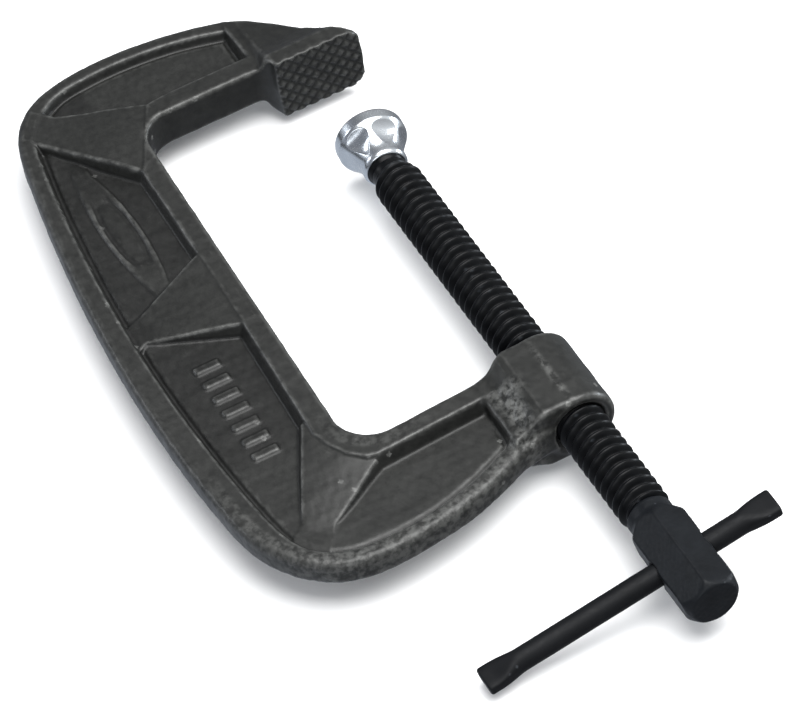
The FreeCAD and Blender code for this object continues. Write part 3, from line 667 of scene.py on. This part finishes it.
def casting_skin(vertices, normal, outline, channel):
    """Moved vertices, the rub amount, and the mask of painted shade on the pocket floors (with a
    part value on the anvil face) used by the material.
    """
    x, y, z = vertices.T
    rub = np.zeros(len(vertices))
    for (spot_x, spot_y), (reach_x, reach_y), amount in RUB_SPOTS:
        square = ((x - spot_x * UNIT) / reach_x) ** 2 + ((y - spot_y * UNIT) / reach_y) ** 2
        rub = np.maximum(rub, amount * np.exp(-square ** 1.5))
    depth = -polygon(x, y, outline)
    on_rim = step(depth, -0.5, 0.3) * (1 - step(depth, 3.6, 4.8))
    boss_corner = step(x, 96 * UNIT, 122 * UNIT) * step(-y, 20 * UNIT, 46 * UNIT)
    boss_arm = step(x, 128 * UNIT, 136 * UNIT) * on_rim * step(-y, 12 * UNIT, 20 * UNIT)
    rub = np.maximum(rub, 0.30 * boss_corner * on_rim)
    rub = np.maximum(rub, 0.45 * boss_arm)

    near_face = (x > -1.6) & (x < 2.0)
    # Mask of painted shade: 1 on the pocket floors near the mid-plane inside the channel, 0.30 on
    # the anvil face, which only spares that face its edge lightening
    painted_shade_and_anvil_face = (1 - step(np.abs(z), 2.3, 3.2)) * step(-polygon(x, y, channel), 0.0, 1.0)
    painted_shade_and_anvil_face = painted_shade_and_anvil_face * (1 - step(x, 98 * UNIT, 110 * UNIT)) * step(-y, 50 * UNIT, 52 * UNIT)
    painted_shade_and_anvil_face = np.maximum(painted_shade_and_anvil_face, 0.30 * (near_face & (y > -10.2)))

    # Gentle lumps everywhere, rougher where rubbed, almost none on the gripping face
    lumps = 0.035 * noise(vertices, 7.0, 3) + 0.018 * noise(vertices, 2.6, 5)
    lumps += rub * (0.085 * noise(vertices, 2.3, 8) + 0.05 * noise(vertices, 1.3, 11))
    lumps *= 1.0 - 0.9 * (near_face & (y > -14))
    in_bore = (x > BOSS_START - 1) & (x < BOSS_END + 1) & (np.hypot(y, z) <= 7.4)
    return vertices + normal * np.where(in_bore, 0.0, lumps)[:, None], rub, painted_shade_and_anvil_face


def build_casting(material):
    spacing = 0.40
    low = (-36.2, -87.2, -10.6)
    high = (153.0, 14.6, 10.6)
    x_line, y_line, z_line = (np.arange(a, b, spacing) for a, b in zip(low, high))
    x, y = np.meshgrid(x_line, y_line, indexing="ij")

    outline = [(0.0, -9.7 * UNIT), (0.0, 12.3 * UNIT)] + curve(OUTER)
    outline += [(BOSS_END, -6.25), (BOSS_START, -8.65)] + round_corners(WINDOW)[::-1][1:-1]
    channel = curve(CHANNEL_OUTER) + scaled(CHANNEL_RETURN)
    off_outline = polygon(x, y, outline)
    off_lip = polygon(x, y, round_corners([(*point, LIP_CORNER) for point in LIP], 6))
    height = casting_height(x, y, off_outline, off_lip, polygon(x, y, channel))
    slope_x, slope_y = np.gradient(height, spacing)
    tilt = np.sqrt(1 + np.minimum(slope_x ** 2 + slope_y ** 2, 12.0))

    thick = np.abs(z_line)[None, None, :]
    edge_radius = 1.75 - 0.80 * step(-off_lip, -0.5, 1.0)
    edge_radius = edge_radius - 0.75 * step(y, -16 * UNIT, -10 * UNIT)
    side = off_outline[:, :, None] + 0.035 * thick
    faces = (thick - height[:, :, None]) / tilt[:, :, None]
    plate = round_max(side, faces, edge_radius[:, :, None])

    # Anvil tip at +y, rounded across the thickness
    section_y, section_z = np.meshgrid(y_line, z_line, indexing="ij")
    nose = round_max(section_y - 12.75 * UNIT, np.abs(section_z) - ANVIL_HALF, 4.4)
    at_nose = ((y > -4.0) & (x < 30))[:, :, None]
    plate = np.maximum(plate, np.where(at_nose, nose[None, :, :], -50.0))

    face = (x[:, :, None] + hatch_depth(section_y, section_z)[None, :, :]) / 1.25
    near_face = ((np.abs(x) < 3.0) & (y > -13.0))[:, :, None]
    plate = np.where(near_face, smooth_max(plate, face, 0.25), plate)

    around_boss = (x_line > 104) & (x_line < 150)
    plate[around_boss] = add_boss(plate[around_boss], x[around_boss][:, :, None],
                                  y[around_boss][:, :, None], z_line[None, None, :])

    vertices, quads, normal = surface_net(plate, low, spacing)
    vertices, rub, painted_shade_and_anvil_face = casting_skin(vertices, normal, outline, channel)
    casting = mesh_object("casting", vertices, [quads], "frame", material)
    for name, values in (("rub", rub), ("painted_shade_and_anvil_face", painted_shade_and_anvil_face)):
        layer = casting.data.attributes.new(name, "FLOAT", "POINT")
        layer.data.foreach_set("value", values.astype(np.float32))
    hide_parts("frame")


# ---------------------------------------------------------------------- screw
def build_thread(material):
    nose_x, cone_end, nose_radius, tail_length = 40.1, 44.9, 4.75, 0.8
    pace = 0.125
    stations = np.arange(nose_x + pace, THREAD_END, pace)
    stations = np.concatenate([[nose_x], stations, [THREAD_END]])
    x, angle = np.meshgrid(stations, circle(80), indexing="ij")
    cone = profile(x, [(nose_x, 4.50), (THREAD_START, nose_radius), (41.8, nose_radius),
                       (cone_end, CREST_RADIUS + 0.05)])
    cone = np.where(x > cone_end, 9.0, cone)  # clear of the crests past the nose
    radius = smooth_min(thread_radius(x, angle), cone, 0.25)
    radius = np.maximum(radius, np.minimum(nose_radius, cone))
    radius = radius + 0.012 * np.sin(3.1 * angle + 0.9 * x) * (radius > 5.5)
    tail = np.clip((THREAD_END - x) / tail_length, 0, 1)
    radius = ROOT_RADIUS + (radius - ROOT_RADIUS) * tail
    vertices, faces = ring_grid(revolve(x, radius, angle))
    thread = mesh_object("screw_thread", vertices, flipped(faces), "spindle", material)
    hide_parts("screw")


def build_head(material):
    """Six-sided head on a round neck, drilled across for the bar."""
    spacing = 0.19
    low_x, low_side = 168.2, -8.6
    side_line = np.arange(low_side, 8.7, spacing)
    x, y, z = np.meshgrid(np.arange(low_x, 203.4, spacing), side_line, side_line, indexing="ij")
    along_bar = y * math.cos(BAR_TURN) + z * math.sin(BAR_TURN)
    across_bar = -y * math.sin(BAR_TURN) + z * math.cos(BAR_TURN)
    radius = np.hypot(y, z)
    head = np.abs(along_bar) - 6.9
    sixty = math.radians(60)
    for sign in (1, -1):
        flat = np.abs(along_bar * math.cos(sixty) + sign * across_bar * math.sin(sixty)) - 6.15
        head = smooth_max(head, flat, 0.45)
    chamfer = radius * 0.80 + (x - HEAD_END) * 0.60 - 4.55
    shoulder = (radius - (5.75 + (x - 174.2) * 0.62)) * 0.85
    ends = np.maximum(x - HEAD_END + 0.0036 * radius ** 2, HEAD_START - x)
    head = smooth_max(smooth_max(head, chamfer, 0.5), smooth_max(shoulder, ends, 0.3), 0.4)

    # The third station lies just past the fourth; the neck's shape depends on this order
    neck_radius = profile(x, [
        (168.0, 4.6), (THREAD_END, 4.75), (THREAD_END + 0.45, 4.9), (170.6, 4.95),
        (171.3, 5.72), (174.6, 5.75), (180, 5.75),
    ])
    neck = np.maximum(np.maximum(radius - neck_radius, (THREAD_END - 1.6) - x), x - 178.0)
    head = smooth_min(head, neck, 0.5)
    hole = np.hypot(x - BAR_X, across_bar) - 2.93 - 0.55 * step(np.abs(along_bar), 5.9, 6.9)
    head = smooth_max(head, -hole, 0.25)

    vertices, quads, normal = surface_net(head, (low_x, low_side, low_side), spacing)
    x, y, z = vertices.T
    off_hole = np.hypot(x - BAR_X, -y * math.sin(BAR_TURN) + z * math.cos(BAR_TURN))
    lumps = 0.03 * noise(vertices, 5.0, 21) + 0.012 * noise(vertices, 1.7, 22)
    vertices = vertices + normal * (lumps * (off_hole > 3.4))[:, None]
    mesh_object("screw_head", vertices, [quads], "spindle", material)


# ------------------------------------------------------------------- swivel pad
PAD_RADIUS = 9.05
PAD_FACE = -11.45  # x of the flat face, from the ball centre
PAD_BACK = PAD_FACE + 3.4
PAD_CENTRE_X = 37.5
SOCKET_RADIUS = 5.2
PAD_OUTER = [  # (x from the ball centre, radius)
    (PAD_FACE, 0.0), (PAD_FACE, 8.30), (PAD_FACE + 0.07, 8.66), (PAD_FACE + 0.28, 8.94),
    (PAD_FACE + 0.62, PAD_RADIUS), (PAD_BACK - 0.30, PAD_RADIUS),
    (PAD_BACK - 0.05, PAD_RADIUS - 0.04), (PAD_BACK + 0.20, PAD_RADIUS - 0.17),
    (PAD_BACK + 0.50, PAD_RADIUS - 0.34),
    (-7.1, 8.42), (-6.4, 7.99), (-5.6, 7.50), (-4.8, 7.03), (-4.0, 6.61), (-3.2, 6.27),
    (-2.4, 6.02), (-1.7, 5.88), (-1.1, 5.82), (-0.5, 5.81), (0.1, 5.83), (0.60, 5.80),
    (1.05, 5.64), (1.38, 5.38), (1.52, 5.12),
]
DENT_START = -5.9
DENT_HALF = [(DENT_START, 26), (-4.5, 23), (-3.0, 16), (-1.6, 8), (-0.9, 0)]  # (x, degrees)
DENT_DEPTH = [(DENT_START, 0.90), (-4.5, 0.80), (-3.0, 0.45), (-1.6, 0.12), (-0.9, 0.0)]


def spaced(points, count):
    """Points at even steps along a polyline."""
    points = np.array(points)
    reach = np.r_[0, np.cumsum(np.hypot(*np.diff(points, axis=0).T))]
    want = np.linspace(0, reach[-1], count)
    return np.stack([np.interp(want, reach, column) for column in points.T], 1)


def build_pad(material):
    lip_angle = math.asin(1.50 / SOCKET_RADIUS)
    socket = [(SOCKET_RADIUS * math.sin(a), SOCKET_RADIUS * math.cos(a))
              for a in np.linspace(lip_angle, -math.pi / 2, 60)]
    outer = spaced(PAD_OUTER, 150)[1:]
    inner = spaced(socket, 40)[:-1]
    around = circle(288)

    # Six concave flats pressed into the cone to close it on the ball
    x, angle = np.meshgrid(outer[:, 0], around, indexing="ij")
    radius = np.repeat(outer[:, 1:], len(around), 1)
    round_end = np.clip(1.0 - ((x - DENT_START) / 1.7) ** 2, 0.0, 1.0)
    before = x < DENT_START
    half = np.radians(np.where(before, 26.0 * np.sqrt(round_end), profile(x, DENT_HALF)))
    depth = np.where(before, 0.90 * round_end, profile(x, DENT_DEPTH))
    for n in range(6):
        off = (angle - math.radians(66.0 + 60.0 * n) + math.pi) % (2 * math.pi) - math.pi
        share = np.abs(off) / np.maximum(half, 1e-3)
        radius = radius - depth * np.clip(1.0 - share ** 2.2, 0.0, 1.0)
    outside = revolve(x, radius, angle)
    inside = revolve(*np.broadcast_arrays(inner[:, :1], inner[:, 1:], around))
    vertices, faces = ring_grid(np.concatenate([outside, inside]))
    vertices[-2] = (PAD_FACE, 0, 0)
    vertices[-1] = (-SOCKET_RADIUS, 0, 0)

    x, y, z = vertices.T
    tilt = math.radians(-6.0)  # about z
    cosine, sine = math.cos(tilt), math.sin(tilt)
    vertices = np.stack([PAD_CENTRE_X + x * cosine - y * sine, x * sine + y * cosine, z], 1)
    pad = mesh_object("pad", vertices, flipped(faces), "pad", material)
    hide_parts("swivel_pad")


# -------------------------------------------------------------------- tommy bar
def build_bar(material):
    """Round bar whose two ends are flattened wider along x."""
    tip, flat = 1.2, 11.5  # lengths of the finely divided ends
    stations = np.unique(np.round(np.concatenate([
        np.linspace(-BAR_LONG, -BAR_LONG + tip, 9),
        np.linspace(-BAR_LONG + tip, -BAR_LONG + flat, 42),
        np.linspace(-BAR_LONG + flat, BAR_SHORT - flat, 60),
        np.linspace(BAR_SHORT - flat, BAR_SHORT - tip, 42),
        np.linspace(BAR_SHORT - tip, BAR_SHORT, 9),
    ]), 4))
    angle = circle(72)
    cosine, sine = np.cos(angle), np.sin(angle)
    rings = []
    for z in stations:
        from_end = min(z + BAR_LONG, BAR_SHORT - z)
        flatness = float(1 - step(from_end, 2.2, 9.6))
        wide = BAR_RADIUS + 0.86 * flatness - 0.10 * max(0.0, 1 - from_end / 0.6)
        thick = BAR_RADIUS * (1 - 0.46 * flatness)
        power = 2 / (2.0 + 2.6 * flatness)
        rounding = max(0.0, 1 - from_end / 0.7)
        shrink = 1.0 - 0.12 * (1 - math.sqrt(max(0.0, 1 - rounding ** 2)))
        x = wide * np.sign(cosine) * np.abs(cosine) ** power * shrink
        y = thick * np.sign(sine) * np.abs(sine) ** power * shrink
        rings.append(np.stack([x, y, np.full(len(angle), z)], 1))
    points, faces = ring_grid(np.array(rings))
    x = points[:, :1] + 0.012 * noise(points, 9.0, 31)[:, None]
    y = points[:, 1:2] + 0.012 * noise(points, 8.0, 32)[:, None]
    # Local x lies along the screw and local z along the bar
    x_axis = np.array([1.0, 0, 0])
    z_axis = np.array([0, math.cos(BAR_TURN), math.sin(BAR_TURN)])
    y_axis = np.cross(z_axis, x_axis)
    vertices = np.array([BAR_X, 0, 0]) + x * x_axis + y * y_axis + points[:, 2:] * z_axis
    bar = mesh_object("bar", vertices, faces, "handle", material)
    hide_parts("tommy_bar")


# ------------------------------------------- floor, light, view (all in metres)
def build_floor():
    half, z = 6.0, -0.0128
    mesh = bpy.data.meshes.new("floor")
    corners = [(-half, -half, z), (half, -half, z), (half, half, z), (-half, half, z)]
    mesh.from_pydata(corners, [], [(0, 1, 2, 3)])
    obj = bpy.data.objects.new("floor", mesh)
    bpy.context.scene.collection.objects.link(obj)
    material, shader, surface = new_material("floor_pale", textured=False)
    shader.feed(surface, {"Base Color": grey(0.93), "Roughness": 0.9})
    mesh.materials.append(material)
    obj.visible_glossy = False


def build_world():
    """Sky graded by the angle from one bright direction."""
    world = bpy.data.worlds.new("studio")
    bpy.context.scene.world = world
    world.use_nodes = True
    shader = Shader(world.node_tree)
    direction = shader.add("ShaderNodeTexCoord").outputs["Generated"]
    facing = shader.add("ShaderNodeVectorMath", {0: direction, 1: (0.23, 0.68, 0.70)},
                        operation="DOT_PRODUCT").outputs["Value"]
    factor = shader.math("ADD", shader.math("MULTIPLY", facing, 0.5), 0.5)
    sky = shader.ramp(factor, [
        (0.10, (0.60, 0.645, 0.72)), (0.28, (0.30, 0.315, 0.35)), (0.46, (0.24, 0.25, 0.28)),
        (0.55, (0.22, 0.225, 0.24)), (0.66, (0.32, 0.325, 0.335)), (0.86, (0.62, 0.625, 0.63)),
        (1.0, grey(0.82)),
    ])
    shader.feed(world.node_tree.nodes["Background"], {"Color": sky, "Strength": 1.0})


LIGHT_TARGET = (0.07, -0.03, 0.0)
LIGHTS = [  # name, place, (width, height), watts, colour
    ("key", (0.22, 0.18, 1.12), (1.1, 1.1), 24.0, (1, 1, 1)),
    ("side", (-0.55, -0.80, 0.42), (0.5, 0.25), 2.2, (0.93, 0.96, 1.0)),
    ("fill", (0.12, 1.05, 0.12), (0.8, 0.20), 7.0, (0.86, 0.93, 1.0)),
    ("front", (0.85, -0.45, 0.45), (0.5, 0.4), 2.0, (0.95, 0.97, 1.0)),
]


def build_lights():
    for name, place, size, power, colour in LIGHTS:
        data = bpy.data.lights.new(name, "AREA")
        data.shape = "RECTANGLE"
        data.size, data.size_y = size
        data.energy = power
        data.color = colour
        obj = bpy.data.objects.new(name, data)
        bpy.context.scene.collection.objects.link(obj)
        obj.location = place
        aim = Vector(LIGHT_TARGET) - Vector(place)
        obj.rotation_euler = aim.to_track_quat("-Z", "Y").to_euler()


# World to view, where view y points down and view z ahead
VIEW_TURN = np.array([2.17146, 1.25258, -0.63986])  # axis times angle in radians
VIEW_SHIFT = np.array([-20.834052, -70.414722, 1252.908602])  # millimetres


def build_camera():
    angle = float(np.linalg.norm(VIEW_TURN))
    x, y, z = VIEW_TURN / angle
    cross = np.array([[0, -z, y], [z, 0, -x], [-y, x, 0]])
    turn = np.eye(3) + math.sin(angle) * cross + (1 - math.cos(angle)) * cross @ cross
    pose = np.eye(4)
    pose[:3, :3] = np.stack([turn[0], -turn[1], -turn[2]], 1)
    pose[:3, 3] = -turn.T @ VIEW_SHIFT * METRE
    data = bpy.data.cameras.new("camera")
    data.sensor_fit = "HORIZONTAL"
    data.sensor_width = 36.0
    data.lens = 224.719101
    data.clip_start = 0.05
    camera = bpy.data.objects.new("camera", data)
    bpy.context.scene.collection.objects.link(camera)
    camera.matrix_world = Matrix(pose.tolist())
    scene = bpy.context.scene
    scene.camera = camera
    scene.view_settings.view_transform = "Standard"
    scene.view_settings.look = "None"
    scene.view_settings.exposure = 0.0


cast = cast_material()
screw_oxide = oxide_material("screw_oxide", dark=(0.0012, 0.0015, 0.0019),
                             light=(0.0028, 0.0033, 0.0040), smooth=0.28, rough=0.42)
head_oxide = oxide_material("head_oxide", dark=(0.0034, 0.0042, 0.0054),
                            light=(0.0070, 0.0084, 0.0105), smooth=0.38, rough=0.55)
bar_oxide = oxide_material("bar_oxide", dark=(0.0028, 0.0032, 0.0040),
                           light=(0.0060, 0.0066, 0.0078), smooth=0.44, rough=0.60,
                           stretch=(1.0, 0.35, 1.0))
chrome = chrome_material()

build_casting(cast)
build_thread(screw_oxide)
build_head(head_oxide)
build_pad(chrome)
build_bar(bar_oxide)

# The ball stud keeps its own shape
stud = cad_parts["ball_stud"]
stud.data.materials.clear()
stud.data.materials.append(screw_oxide)

build_floor()
build_world()
build_lights()
build_camera()
